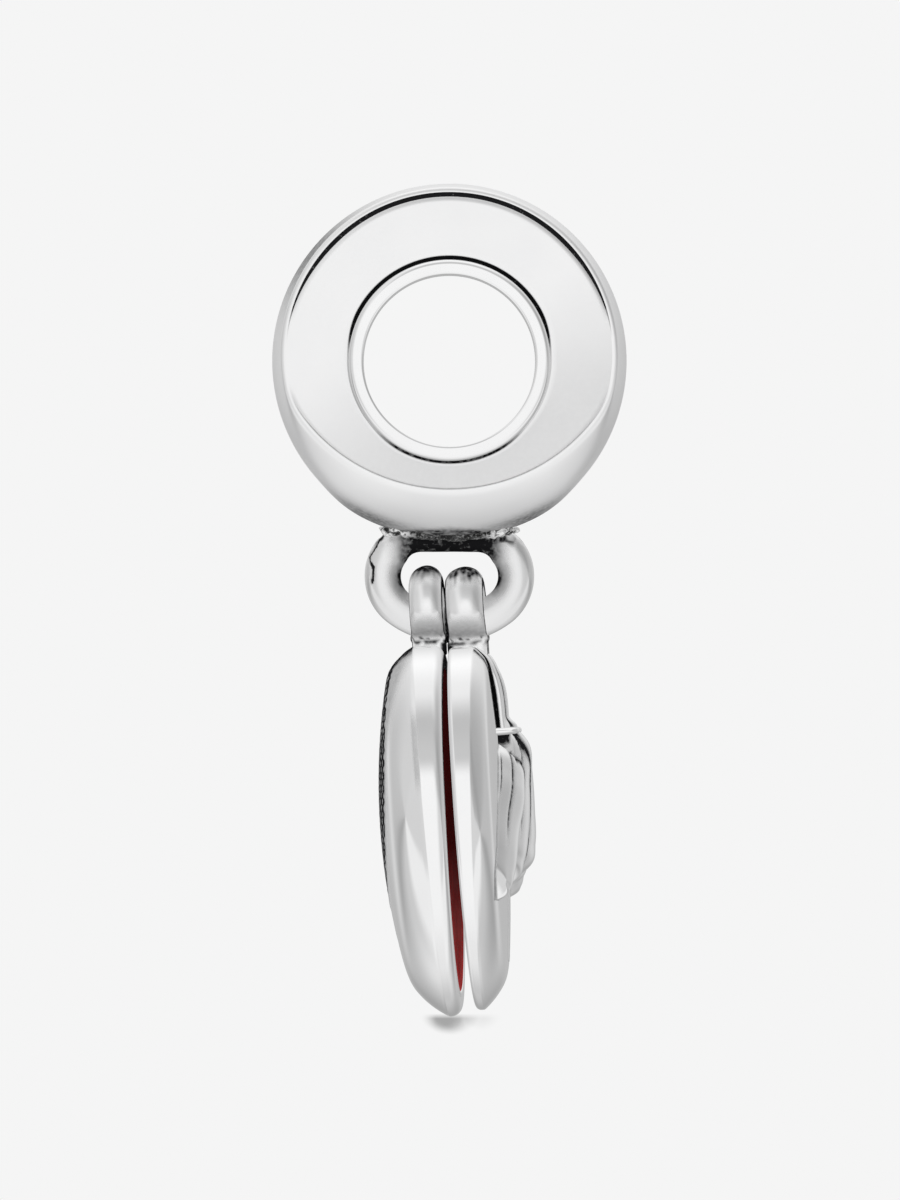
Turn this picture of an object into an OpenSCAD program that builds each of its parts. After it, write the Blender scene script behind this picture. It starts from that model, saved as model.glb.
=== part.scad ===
// Dangle charm: a bracelet bead with an oval ring soldered under it, and two domed round pendants
// that hang from the ring by their bails, back to back, with red enamel on their inner faces.
// The origin is the middle of the bead's bore. X runs to the right across the bead's face,
// Y runs along the bore, away from the viewer, and Z points up.

/* [Bead] */
// Largest diameter of the bead
bead_d = 9.4; // [9:0.1:10.4]
// Width of the bead at its bore
bead_w = 4.5; // [4:0.1:5.4]
// Lean of each face towards the other one at the top, in degrees
face_lean = 8; // [5:0.5:10]
// Drop of the round side from its middle to its edges
crown_drop = 0.27; // [0.15:0.01:0.4]
// Height of the belly's axis above the bore
belly_rise = 0.8; // [0.6:0.05:1]
// Radius of the belly from face to face
belly_arc = 3.75; // [3.6:0.05:4.4]

/* [Core tube] */
// Diameter of the bore
bore_d = 4.56; // [4.3:0.02:4.8]
// Thickness of the rounded lip
lip_d = 0.46; // [0.4:0.02:0.54]
// Wall of the tube
core_wall = 0.28; // [0.2:0.02:0.34]
// Width of the dark groove round the lip
groove_w = 0.1; // [0.06:0.01:0.16]
// Depth of that groove
groove_depth = 0.3; // [0.15:0.05:0.5]
// Gap between the tube and the bead
core_gap = 0.04; // [0.02:0.01:0.06]

/* [Soldered ring] */
// Thickness of the ring's wire
ring_wire = 0.96; // [0.86:0.02:1]
// Width of the ring outside
ring_w = 4.5; // [4.3:0.1:4.9]
// Height of the ring outside
ring_h = 3.54; // [3.46:0.02:3.7]
// Radius of the ring's round ends, at the middle of the wire
ring_end_r = 1.06; // [1:0.02:1.1]
// Drop from the bore to the middle of the ring
ring_drop = 5.71; // [5.65:0.01:5.8]
// Width of the solder between bead and ring
solder_w = 3.1; // [2.8:0.1:3.3]
// Drop from the bore to the underside of the solder
solder_drop = 5.06; // [5:0.01:5.12]

/* [Bails] */
// Thickness of a bail's wire
bail_wire = 0.9; // [0.8:0.02:0.92]
// Diameter of a bail's eye
bail_eye = 1.24; // [1.22:0.01:1.32]
// Drop of the eye's middle below the ring's wire
bail_sag = 0.02; // [0:0.01:0.03]

/* [Rear pendant] */
// Place of its bail along the ring's wire
rear_x = -0.575; // [-0.62:0.005:-0.56]
// Distance from the middle of the bail to the inner face
rear_seat = 0.41; // [0.38:0.01:0.42]
// Lean of the hanging pendant, its foot to the right, in degrees
rear_lean = 2.85; // [2.2:0.05:3]
// Thickness at the top of the dome
rear_t = 1.92; // [1.6:0.02:2.1]
// Radius of the dome
rear_dome_r = 18; // [15:0.5:24]
// Height of the dome's top above the middle of the pendant
rear_dome_rise = 0.5; // [0:0.05:1]
// Height of the flat wall round the rim, at the bail
rear_wall = 0.78; // [0.6:0.02:0.9]
// Bevel between wall and shoulder, in degrees
rear_bevel = 28; // [20:1:45]
// Rounding of the rim at the inner face
rear_round = 0.3; // [0.1:0.02:0.3]

/* [Front pendant] */
// Place of its bail along the ring's wire
front_x = 0.46; // [0.44:0.005:0.5]
// Distance from the middle of the bail to the inner face
front_seat = 0.52; // [0.5:0.01:0.54]
// Lean of the hanging pendant, its foot to the right, in degrees
front_lean = 4.35; // [4:0.05:5]
// Thickness at the top of the dome, below the relief
front_t = 1.18; // [1.1:0.02:1.4]
// Radius of the dome
front_dome_r = 41; // [30:1:60]
// Height of the dome's top above the middle of the pendant
front_dome_rise = 0.8; // [0:0.05:1]
// Height of the flat wall round the rim, at the bail
front_wall = 0.66; // [0.6:0.02:0.8]
// Bevel between wall and shoulder, in degrees
front_bevel = 40; // [20:1:45]
// Rounding of the rim at the inner face
front_round = 0.14; // [0.1:0.02:0.18]

/* [Both pendants] */
// Diameter of the rear pendant, the larger one of the pair
pendant_d = 9.88; // [9.4:0.02:10.2]
// How much smaller the front pendant is across
front_less = 0.22; // [0:0.02:0.4]
// Turn of both pendants about the vertical, in degrees
turn = 2.5; // [1.5:0.1:3]
// Clearance between the ring's wire and the edge of a pendant
disc_gap = 0.12; // [0.1:0.01:0.2]
// Radius of the shoulder between wall and dome
shoulder_r = 2.3; // [2:0.05:2.6]
// Angle by which the shoulder leans, so that the rim is thinnest at the foot
rim_taper = 2.55; // [2:0.05:2.6]

/* [Enamel] */
// Width of the silver land round the enamel
land_w = 0.62; // [0.5:0.02:0.9]
// Thickness of the enamel
enamel_t = 0.22; // [0.12:0.02:0.3]
// Gap between enamel and silver
enamel_gap = 0.02; // [0.02:0.01:0.05]

/* [Relief] */
// Number of petals on each side of the middle one
side_petals = 2; // [1:1:2]
// Angle between two petals, in degrees
petal_step = 20; // [12:1:24]
// Length of the middle petal, from the calyx to the middle of its round end
petal_l = 2.95; // [2.7:0.05:3.1]
// Length that the first side petal has more; the second one has four times as much more
petal_growth = 0.45; // [0.3:0.05:0.5]
// Dip of a side petal's tip, in degrees for each petal away from the middle
petal_dip = 2.5; // [0:0.5:4]
// Radius of a petal at the calyx
petal_r1 = 0.95; // [0.7:0.05:1]
// Radius of the middle petal at its round end
petal_r2 = 1.15; // [1:0.05:1.2]
// Height of the middle petal above the inner face
petal_top = 1.95; // [1.9:0.05:2.3]
// Depth of the tail's tip below the middle of the pendant
tail_reach = 3.6; // [2.8:0.1:3.9]
// Width of the flat tail below the petals
tail_w = 1.2; // [0.8:0.1:1.6]
// Thickness of the tail above the dome
tail_t = 0.06; // [0.04:0.02:0.2]
// Height of the calyx above the middle of the pendant
calyx_rise = 2.6; // [2.2:0.05:2.8]
// Width of the calyx
calyx_w = 2.4; // [1.8:0.1:3]
// Height of the calyx above the inner face
calyx_top = 1.74; // [1.6:0.02:1.9]
// Width of the stem between bail and calyx
stem_w = 2; // [1.4:0.1:2.4]
// Thickness of the raised stem
stem_t = 0.3; // [0.2:0.02:0.4]
// Height of the dark groove beneath the stem's edges
stem_groove = 0.07; // [0.05:0.01:0.1]

/* [Hidden] */
$fn = 96;
over = 1;

bead_r = bead_d / 2;
half_w = bead_w / 2;
crown_r = (half_w * half_w + crown_drop * crown_drop) / (2 * crown_drop);
belly_r = bead_r + belly_rise;
bore_r = bore_d / 2;
lip_sink = lip_d * 0.16;
lip_r = bore_r + lip_d / 2 - lip_sink;
groove_r = lip_r + lip_d / 2 + groove_w;
core_r = bore_r + core_wall;
seat_r = core_r + core_gap;

ring_a = (ring_w - ring_wire) / 2;
ring_b = (ring_h - ring_wire) / 2;
ring_flat_r = ((ring_a - ring_end_r) ^ 2 + ring_b ^ 2 - ring_end_r ^ 2) / (2 * (ring_b - ring_end_r));
ring_turn = atan((ring_a - ring_end_r) / (ring_flat_r - ring_b));
ring_foot_z = -ring_drop - ring_b;
ring_bury = 20;

bail_r = (bail_eye + bail_wire) / 2;
rear_d = pendant_d;
front_d = pendant_d - front_less;
petal_shrink = 0.1;
petal_sink = [0, 0.14, 0.3];

// Height of the ring's wire at a place along its lower, nearly flat stretch
function wire_z(x) = ring_foot_z + ring_flat_r - sqrt(ring_flat_r ^ 2 - x ^ 2);
function arc_points(x, y, r, from, to, count) =
    [for (i = [0:count]) let (a = from + (to - from) * i / count) [x + r * cos(a), y + r * sin(a)]];

// Round shape about Y, its side a shallow arc: radius r in the middle, less towards the ends
module barrel(r, side_r) {
    reach = half_w * 1.5;
    rotate([90, 0, 0])
        rotate_extrude($fn = 160)
            intersection() {
                translate([0, -reach])
                    square([r + over, 2 * reach]);
                translate([r - side_r, 0])
                    circle(r = side_r, $fn = 400);
            }
}

// Space between the bead's two leaning faces
module between_faces() {
    deep = bead_d * 2;
    intersection_for (side = [-1, 1])
        translate([0, side * half_w, 0])
            rotate([side * face_lean, 0, 0])
                translate([-bead_d, side > 0 ? -deep : 0, -bead_d])
                    cube([2 * bead_d, deep, 2 * bead_d]);
}

// Moves its children from a face seen from its middle, outside along Z, to both faces of the bead
module on_faces() {
    for (side = [-1, 1])
        translate([0, side * half_w, 0])
            rotate([side * face_lean, 0, 0])
                rotate([-side * 90, 0, 0])
                    children();
}

module ring_arc(r, angle) {
    rotate_extrude(angle = angle)
        translate([r, 0])
            circle(d = ring_wire, $fn = 48);
}

// Oval ring in the XZ plane, a flat arc between two round ends that run up into the solder
module half_ring() {
    end_angle = 180 - 2 * ring_turn + ring_bury;
    translate([0, 0, -ring_drop])
        rotate([90, 0, 0]) {
            translate([0, ring_flat_r - ring_b])
                rotate(-90 - ring_turn)
                    ring_arc(ring_flat_r, 2 * ring_turn);
            for (side = [0, 1])
                mirror([side, 0, 0])
                    translate([ring_a - ring_end_r, 0])
                        rotate(ring_turn - 90)
                            ring_arc(ring_end_r, end_angle);
        }
}

module solder() {
    thick = ring_wire * 0.84;
    top = bead_r - crown_drop;
    translate([-solder_w / 2, -thick / 2, -solder_drop])
        cube([solder_w, thick, solder_drop - top + over / 2]);
}

module bead() {
    color("silver")
        difference() {
            union() {
                intersection() {
                    barrel(bead_r, crown_r);
                    translate([0, 0, belly_rise])
                        barrel(belly_r, belly_arc);
                    between_faces();
                }
                half_ring();
                solder();
            }
            rotate([90, 0, 0])
                cylinder(r = seat_r, h = 2 * bead_w, center = true);
            on_faces()
                translate([0, 0, -groove_depth])
                    cylinder(r = groove_r, h = groove_depth + over);
        }
}

module bead_core() {
    color("silver")
        difference() {
            union() {
                intersection() {
                    rotate([90, 0, 0])
                        cylinder(r = core_r, h = 2 * bead_w, center = true);
                    between_faces();
                }
                on_faces()
                    rotate_extrude()
                        translate([lip_r, 0])
                            circle(d = lip_d, $fn = 48);
            }
            rotate([90, 0, 0])
                cylinder(d = bore_d, h = 3 * bead_w, center = true);
        }
}

// Places a hanging pendant: its axis is the bail's, and Z runs up through the bail
module hang(x, lean) {
    translate([x, 0, wire_z(x)])
        rotate([0, 0, -turn])
            rotate([0, -lean, 0])
                children();
}

module bail() {
    translate([0, 0, -bail_sag])
        rotate([0, 90, 0])
            rotate_extrude()
                translate([bail_r, 0])
                    circle(d = bail_wire, $fn = 48);
}

// Turns a disc that is drawn flat, its inner face down and its top edge at +X, into a hanging one
module hanging_disc(d, seat, side) {
    drop = ring_wire / 2 + disc_gap + d / 2;
    translate([-side * seat, 0, -drop])
        rotate([0, -90, 0])
            mirror([0, 0, side > 0 ? 1 : 0])
                children();
}

// Domed disc: flat inner face, rounded edge, low wall, bevelled shoulder and dome
module domed_disc(d, wall, bevel, edge_r, top, dome_r, dome_rise) {
    r = d / 2;
    shoulder_x = r - shoulder_r * cos(bevel);
    shoulder_z = wall - shoulder_r * sin(bevel);
    roof_z = shoulder_r + over;
    intersection() {
        rotate_extrude($fn = 160)
            polygon(concat(
                [[0, 0]],
                arc_points(r - edge_r, edge_r, edge_r, -90, 0, 6),
                [[r, roof_z], [0, roof_z]]
            ));
        translate([r, 0, 0])
            rotate([0, -rim_taper, 0])
                translate([-r, 0, 0])
                    rotate_extrude($fn = 160)
                        polygon(concat(
                            [[0, shoulder_z - over], [shoulder_x + shoulder_r, shoulder_z - over]],
                            arc_points(shoulder_x, shoulder_z, shoulder_r, 0, 90, 16),
                            [[shoulder_x / 2, roof_z], [0, roof_z]]
                        ));
        translate([dome_rise, 0, top - dome_r])
            sphere(r = dome_r, $fn = 360);
    }
}

module enamel_recess(d) {
    translate([0, 0, -over])
        cylinder(d = d - 2 * land_w, h = enamel_t + enamel_gap + over, $fn = 160);
}

module enamel(d) {
    translate([0, 0, enamel_gap / 2])
        cylinder(d = d - 2 * land_w - 2 * enamel_gap, h = enamel_t - enamel_gap / 2, $fn = 160);
}

// Round petal that widens from the calyx to its end, lying along -X
module petal(length, r1, r2) {
    rotate([0, -90, 0])
        cylinder(r1 = r1, r2 = r2, h = length, $fn = 64);
    translate([-length, 0, 0])
        sphere(r = r2, $fn = 64);
}

module blossom() {
    floor_z = enamel_t + 2 * enamel_gap;
    intersection() {
        for (i = [-side_petals:side_petals])
            let (n = abs(i), r2 = petal_r2 - petal_shrink * n)
                translate([calyx_rise, 0, petal_top - r2 - petal_sink[n]])
                    rotate([0, 0, petal_step * i])
                        rotate([0, -petal_dip * n, 0])
                            petal(petal_l + petal_growth * n * n, petal_r1, r2);
        translate([-front_d / 2, -front_d / 2, floor_z])
            cube([front_d, front_d, petal_top]);
    }
}

module calyx() {
    thick = calyx_w / 12;
    translate([calyx_rise - thick, -calyx_w / 2, enamel_t + enamel_gap * 2])
        cube([thick, calyx_w, calyx_top - enamel_t - enamel_gap * 2]);
}

// Its children, cut to the layer between two heights above the dome
module dome_layer(from, to) {
    difference() {
        intersection() {
            children();
            translate([front_dome_rise, 0, front_t + to - front_dome_r])
                sphere(r = front_dome_r, $fn = 360);
        }
        if (from > 0)
            translate([front_dome_rise, 0, front_t + from - front_dome_r])
                sphere(r = front_dome_r, $fn = 360);
    }
}

module stem_bar(w) {
    translate([calyx_rise - over / 10, -w / 2, enamel_t + 2 * enamel_gap])
        cube([front_d / 2 - calyx_rise - front_wall / 2, w, front_t + stem_t]);
}

// Raised stem with a groove beneath its edges
module stem() {
    dome_layer(stem_groove, stem_t)
        stem_bar(stem_w);
    dome_layer(0, stem_t / 2)
        stem_bar(stem_w - 4 * stem_groove);
}

// Flat tail with a round tip, from under the petals down
module tail() {
    height = front_t + tail_t - enamel_t;
    tip_x = tail_w / 2 - tail_reach;
    dome_layer(0, tail_t)
        translate([0, 0, enamel_t + 2 * enamel_gap]) {
            translate([tip_x, 0, 0])
                cylinder(d = tail_w, h = height);
            translate([tip_x, -tail_w / 2, 0])
                cube([-tip_x, tail_w, height]);
        }
}

// Disc and bail in one, with the recess for the enamel; its children are the disc, drawn flat
module bailed_disc(d, seat, side) {
    difference() {
        union() {
            bail();
            hanging_disc(d, seat, side)
                children();
        }
        hanging_disc(d, seat, side)
            enamel_recess(d);
    }
}

module rear_pendant() {
    color("silver")
        hang(rear_x, rear_lean)
            bailed_disc(rear_d, rear_seat, -1)
                domed_disc(rear_d, rear_wall, rear_bevel, rear_round, rear_t, rear_dome_r, rear_dome_rise);
}

module rear_enamel() {
    color("darkred")
        hang(rear_x, rear_lean)
            hanging_disc(rear_d, rear_seat, -1)
                enamel(rear_d);
}

module front_pendant() {
    color("silver")
        hang(front_x, front_lean)
            bailed_disc(front_d, front_seat, 1) {
                domed_disc(front_d, front_wall, front_bevel, front_round, front_t, front_dome_r,
                           front_dome_rise);
                stem();
                tail();
                calyx();
                blossom();
            }
}

module front_enamel() {
    color("darkred")
        hang(front_x, front_lean)
            hanging_disc(front_d, front_seat, 1)
                enamel(front_d);
}

bead();
bead_core();
rear_pendant();
rear_enamel();
front_pendant();
front_enamel();
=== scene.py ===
"""Looks of a silver dangle charm: a bracelet bead, a soldered ring and two domed pendants with red enamel.

Sizes are in millimetres and are turned into metres when a mesh is made. X runs to the right across
the bead's face, Y runs along the bore away from the viewer, Z points up, and the origin is the
middle of the bore. Every point of a mesh has a darkness, from 0 for bright to 1 for black, which
holds where it is tarnished and where shade is painted on it.
"""

import math
from types import SimpleNamespace

import bmesh
import bpy
import numpy as np
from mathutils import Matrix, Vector, noise


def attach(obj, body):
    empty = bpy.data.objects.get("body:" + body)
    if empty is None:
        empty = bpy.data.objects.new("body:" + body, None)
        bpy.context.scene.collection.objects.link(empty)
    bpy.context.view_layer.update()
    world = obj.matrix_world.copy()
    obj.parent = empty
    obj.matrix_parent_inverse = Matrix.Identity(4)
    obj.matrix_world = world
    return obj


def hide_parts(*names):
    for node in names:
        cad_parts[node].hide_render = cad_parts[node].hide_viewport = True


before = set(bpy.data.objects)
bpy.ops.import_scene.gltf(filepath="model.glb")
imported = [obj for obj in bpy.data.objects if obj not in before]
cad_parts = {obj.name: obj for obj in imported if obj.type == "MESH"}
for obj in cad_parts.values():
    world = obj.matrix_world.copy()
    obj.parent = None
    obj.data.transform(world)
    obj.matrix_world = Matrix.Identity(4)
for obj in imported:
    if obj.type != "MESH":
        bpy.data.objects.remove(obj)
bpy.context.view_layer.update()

MM = 0.001
FULL = 2 * math.pi
WELD = 1e-7

# Bead: a crowned wheel with two leaning faces and a round belly below
BEAD_R = 4.7
HALF_W = 2.25
CROWN_R = 9.51
BELLY_RISE = 0.8
BELLY_R = 5.5
BELLY_ARC = 3.75
BELLY_BLEND = 0.12
BELLY_FOOT = 0.08
FACE_R = 4.4
FACE_LEAN = math.radians(8)
FACE_EDGE = 0.11
FACE_PILLOW = 0.08
LINE_W = 0.13
LINE_FINE_W = 0.03
LINE_DEPTH = 0.03

# Painted shade of the bead, and a darker smudge under its belly: angles are about the bore from +X,
# spreads are in radians
FACE_SHADE = 0.2
SIDE_SHADE = 0.65
SIDE_ANGLE = math.radians(142)
SIDE_SPREAD = 0.4
BELLY_SHADE = 0.68
FOOT_ANGLE = math.radians(270)
BELLY_FROM_FOOT = math.radians(27)
BELLY_SPREAD = 0.36
SMUDGE_A = 1.75
SMUDGE_B = 1.5

# Core tube and the groove round its lips
BORE_R = 2.28
LIP_R = 2.436
LIP_HALF = 0.23
CORE_R = 2.56
SEAT_R = 2.6
GROOVE_R = 2.766
GROOVE_NARROW_R = 2.685
GROOVE_DEPTH = 0.3
GROOVE_SHALLOW = 0.05
GROOVE_LIP = 0.03

# Soldered ring: a flat arc below, two round ends and a straight top
WIRE_HALF = 0.48
RING_A = 1.77
RING_B = 1.29
RING_END_R = 1.06
RING_FLAT_R = 2.2704
RING_TURN = math.radians(35.9)
RING_DROP = 5.71
RING_TOP_HALF = 0.415
CRACK = ((-1.80, -4.62), (-1.99, -5.00), (-2.12, -5.20), (-2.11, -5.31), (-2.02, -5.47),
         (-2.05, -5.88))
CRACK_DEPTH = 0.03
GAP_X = -0.055
SEAM_X = 1.02
SEAM_Y = 0.58
SEAM_HALF = 0.1

# Pendants: a wire bail and a disc with a recessed inner face and a domed back
BAIL_R = 1.07
BAIL_HALF = 0.45
BAIL_HALF_W = 0.475
BAIL_SHIFT = 0.05
BAIL_SAG = 0.02
BAIL_SQUARE = 2.5
TURN = math.radians(2.5)
DISC_DROP = 0.6
SHOULDER_R = 2.3
DOME_BLEND = 0.12
RIM_TAPER = math.tan(math.radians(2.55))
LAND_W = 0.62
RECESS_Z = 0.24
ENAMEL_FACE_Z = 0.01
ENAMEL_BACK_Z = 0.22
ENAMEL_GAP = 0.02
ENAMEL_RIM = 0.07
# x and z are the hinge's place, side is -1 on the left and 1 on the right, d is the disc's diameter,
# seat is the way from its inner face to the hinge, inner_w is the bail's half width towards the
# other pendant, foot is what that gains below, and the last two rows are the disc's back
PENDANTS = {
    "rear": SimpleNamespace(
        name="rear", side=-1, x=-0.575, z=-6.926, lean=math.radians(2.85), d=9.88, seat=0.41,
        inner_w=0.46, foot=0.0,
        top=1.92, dome_r=18.0, dome_rise=0.5,
        wall=0.78, bevel=math.radians(28), edge=0.3),
    "front": SimpleNamespace(
        name="front", side=1, x=0.46, z=-6.953, lean=math.radians(4.35), d=9.66, seat=0.52,
        inner_w=0.49, foot=0.05,
        top=1.18, dome_r=41.0, dome_rise=0.8,
        wall=0.66, bevel=math.radians(40), edge=0.14),
}

# Rows of a disc's profile, in their order from the recess to the back
BED_ROWS = 3
LIP_ROWS = 4
EDGE_ROWS = 12
RIM_ROWS = 8
CORNER_ROWS = 2
INNER_ROWS = BED_ROWS + LIP_ROWS
BACK_ROW = INNER_ROWS + EDGE_ROWS + RIM_ROWS + CORNER_ROWS

# Grained field on the rear pendant's back
FIELD_X = 1.4
FIELD_A = 3.4
FIELD_B = 3.3
GRAIN_PITCH = 0.34
GRAIN_ROW = 0.866 * GRAIN_PITCH
GRAIN_R = 0.15

# Relief on the front pendant
CALYX_X = 2.6
CALYX_HALF_W = 1.2
CALYX_HALF_T = 0.1
CALYX_TOP = 1.74
CALYX_LOW = 0.3
PETAL_STEP = math.radians(20)
PETAL_FLOOR = 0.3
ROOF_EDGE = 0.93
TIP_START = 0.9
# From the middle petal to the outer ones. reach is the length, start is where the petal begins as a
# share of it, and corner is the roof's height at its sides as a share of its middle's. The half
# width and the height of the top are given at shares of the length.
PETALS = (
    SimpleNamespace(
        reach=4.1, start=0.0, corner=0.84,
        width=((0, 0.55), (0.12, 0.78), (0.35, 0.98), (0.65, 1.12), (0.85, 1.0), (0.95, 0.7),
               (1, 0.05)),
        top=((0, 1.6), (0.1, 1.9), (0.3, 1.96), (0.55, 1.95), (0.76, 1.9), (0.9, 1.74), (1, 1.2))),
    SimpleNamespace(
        reach=4.45, start=0.0, corner=0.8,
        width=((0, 0.5), (0.12, 0.7), (0.35, 0.9), (0.65, 1.0), (0.85, 0.86), (0.95, 0.58),
               (1, 0.05)),
        top=((0, 1.5), (0.12, 1.82), (0.4, 1.88), (0.65, 1.8), (0.85, 1.62), (0.96, 1.4),
             (1, 1.15))),
    SimpleNamespace(
        reach=5.9, start=0.12, corner=0.64,
        width=((0.12, 0.1), (0.14, 0.4), (0.18, 0.58), (0.35, 0.82), (0.6, 0.9), (0.8, 0.8),
               (0.93, 0.58), (1, 0.05)),
        top=((0.12, 1.25), (0.14, 1.45), (0.2, 1.66), (0.38, 1.78), (0.6, 1.6), (0.85, 1.42),
             (0.93, 1.3), (0.98, 1.12), (1, 0.9))),
)
PETAL_PLACES = (-2, -1, 0, 1, 2)
STEM_HALF_W = 1.0
STEM_NECK = 0.84
TAIL_REACH = 3.6
TAIL_W = 1.2
TAIL_T = 0.02
TAIL_DEPTH = 0.2

# Finish: scales and depths are in millimetres
BLACK = (0.012, 0.012, 0.013)
SILVER_LOW = (0.90, 0.90, 0.905)
SILVER_HIGH = (0.96, 0.96, 0.96)
HAIR_DEPTH = 0.00012
ENAMEL_SHADED_Z = -12.8
ENAMEL_LIT_Z = -15.2

# Stage
FLOOR_SIZE = 4000.0
FLOOR_Z = -17.68
FLOOR_RISE = math.tan(math.radians(14))
RIDGE_FRONT = -3.0
RIDGE_CREST = 1.5
RIDGE_BACK = 1.6
SHADOW_X = -0.15
SHADOW_REACH = 0.55
SHADOW_TONE = 0.42
BACKGROUND = 0.913
MATT_LIGHT = 1.14
SIDE_LIGHT = 0.74
# Light in the studio at a height angle in degrees: 0 is the viewer's side, 90 is above
LIGHT_MIDDLE = ((-180, 0.5), (-165, 0.38), (-130, 0.58), (-90, 0.85), (-45, 0.96), (33, 0.97),
                (47, 0.60), (72, 0.55), (98, 0.9), (130, 1.05), (160, 0.8), (180, 0.5))
LIGHT_SIDES = ((-180, 0.72), (-155, 0.52), (-120, 0.8), (-90, 0.93), (20, 0.94), (45, 0.62),
               (70, 0.5), (100, 0.58), (150, 0.72), (180, 0.72))
LIGHT_LEFT = ((-180, 0.74), (-155, 0.55), (-120, 0.85), (-90, 0.93), (20, 0.94), (45, 0.94),
              (70, 0.9), (100, 0.9), (150, 0.76), (180, 0.74))
VIEW_X = 0.016
VIEW_Z = -6.34
VIEW_HEIGHT = 31.83
VIEW_DISTANCE = 700.0
SENSOR_W = 36.0


def smooth_min(a, b, k):
    """Smaller of two values, rounded over a width k where they are close."""
    h = np.clip(0.5 + 0.5 * (b - a) / k, 0, 1)
    return b * (1 - h) + a * h - k * h * (1 - h)


def ramp(x, low, high):
    """Smooth step from 0 at low to 1 at high."""
    t = np.clip((np.asarray(x, dtype=float) - low) / (high - low), 0, 1)
    return t * t * (3 - 2 * t)


def bell(x, middle, width, power=2):
    """1 at the middle, falling to 0 on both sides, and to about a third at the width."""
    return np.exp(-np.abs((x - middle) / width) ** power)


def signed_power(x, power):
    return np.sign(x) * np.abs(x) ** power


def curve(t, knots):
    """Smooth curve through a few (place, value) knots."""
    places, values = np.array(knots, dtype=float).T
    slopes = np.gradient(values, places)
    t = np.clip(np.asarray(t, dtype=float), places[0], places[-1])
    i = np.clip(np.searchsorted(places, t) - 1, 0, len(places) - 2)
    width = places[i + 1] - places[i]
    h = (t - places[i]) / width
    return (values[i] * (1 + 2 * h) * (1 - h) ** 2 + slopes[i] * width * h * (1 - h) ** 2
            + values[i + 1] * h ** 2 * (3 - 2 * h) + slopes[i + 1] * width * h ** 2 * (h - 1))


def noise_at(points, scale, seed=0.0):
    """Smooth noise, about -1 to 1, with features of 1/scale millimetres."""
    shift = Vector((seed * 7.31, seed * 3.17, seed * 5.77))
    flat = points.reshape(-1, 3) * scale
    values = [noise.noise(Vector(p) + shift) for p in flat]
    return np.array(values).reshape(points.shape[:-1])


def grid_faces(rows, cols, wrap_rows):
    """Quads between neighbours in a grid of points whose columns close round."""
    i, j = np.meshgrid(np.arange(rows if wrap_rows else rows - 1), np.arange(cols), indexing="ij")
    i2, j2 = (i + 1) % rows, (j + 1) % cols
    quads = np.stack([i * cols + j, i * cols + j2, i2 * cols + j2, i2 * cols + j], axis=-1)
    return quads.reshape(-1, 4).tolist()


def grid_piece(name, points, body, node, material, wrap_rows=False, tarnish_and_shade=None):
    """Piece from a grid of points (rows, cols, 3) whose columns close round.

    The rows close round too, or else a fan closes the grid at each end.
    """
    rows, cols = points.shape[:2]
    verts = points.reshape(-1, 3)
    faces = grid_faces(rows, cols, wrap_rows)
    dark = np.zeros(len(verts)) if tarnish_and_shade is None else tarnish_and_shade.reshape(-1)
    if not wrap_rows:
        for row in (0, rows - 1):
            ring = row * cols + np.arange(cols)
            centre = len(verts)
            verts = np.vstack([verts, verts[ring].mean(axis=0)])
            dark = np.append(dark, dark[ring].mean())
            faces += [(int(a), int(b), centre) for a, b in zip(ring, np.roll(ring, -1))]
    return mesh_piece(name, verts, faces, body, node, material, dark)


def mesh_piece(name, verts, faces, body, node, material, tarnish_and_shade):
    """Piece that rides on a body and stands for a node of the frame."""
    mesh = bpy.data.meshes.new(name)
    mesh.from_pydata((verts * MM).tolist(), [], faces)
    layer = mesh.attributes.new("tarnish_and_shade", "FLOAT", "POINT")
    layer.data.foreach_set("value", np.clip(tarnish_and_shade, 0, 1).astype(np.float32))
    shaped = bmesh.new()
    shaped.from_mesh(mesh)
    bmesh.ops.remove_doubles(shaped, verts=shaped.verts, dist=WELD)
    bmesh.ops.recalc_face_normals(shaped, faces=shaped.faces)
    shaped.to_mesh(mesh)
    shaped.free()
    mesh.shade_smooth()
    mesh.materials.append(material)
    piece = bpy.data.objects.new(name, mesh)
    bpy.context.scene.collection.objects.link(piece)
    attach(piece, body)
    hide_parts(node)
    piece.visible_glossy = False
    return piece


# Materials


def grey(value):
    return (value, value, value, 1)


def tinted(colour, tone=1.0):
    return (*(tone * part for part in colour), 1)


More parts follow.
